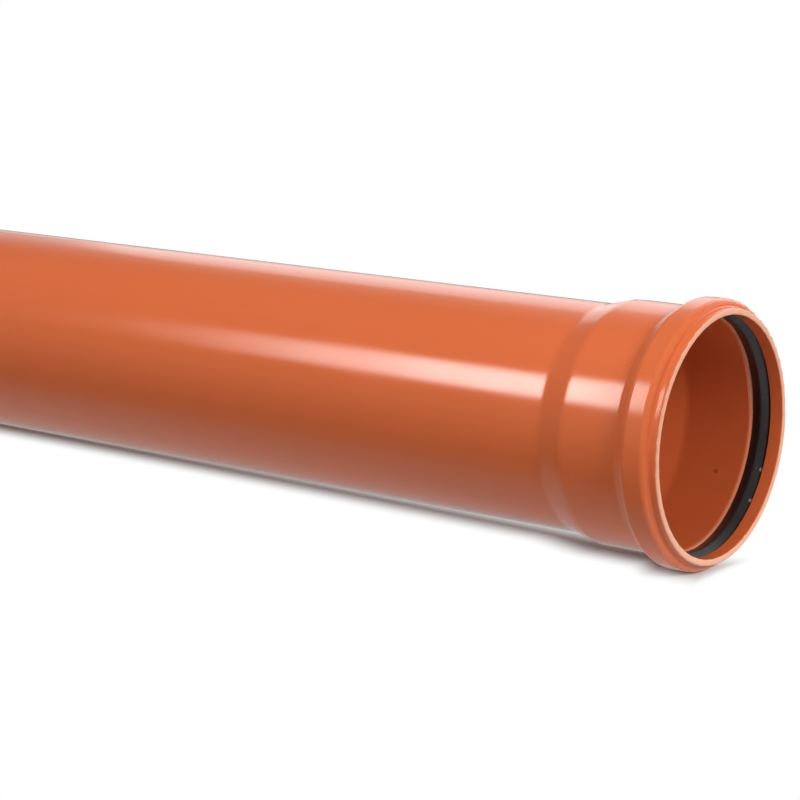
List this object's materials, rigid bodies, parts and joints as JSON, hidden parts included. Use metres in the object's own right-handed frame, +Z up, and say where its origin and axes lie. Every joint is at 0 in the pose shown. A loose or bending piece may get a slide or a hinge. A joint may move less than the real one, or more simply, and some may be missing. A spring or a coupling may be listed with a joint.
{
  "type": "pvc sewer pipe",
  "caption": "Straight orange-brown PVC-U sewer pipe with a bevelled plain end and a formed socket holding a black rubber sealing ring.",
  "frame": {"origin": "on the floor, under the middle of the lying pipe", "axes": "+X along the pipe towards its socket, +Z up; the pipe's axis rises by about half a degree towards the socket, because the bead is wider than the plain end"},
  "size_m": [1.0568, 0.127, 0.1271],
  "materials": {
    "pvc": "gloss",
    "seal_rubber": "satin"
  },
  "bodies": {
    "root": {"pipe": "pvc", "seal_ring": "seal_rubber"}
  },
  "joints": []
}
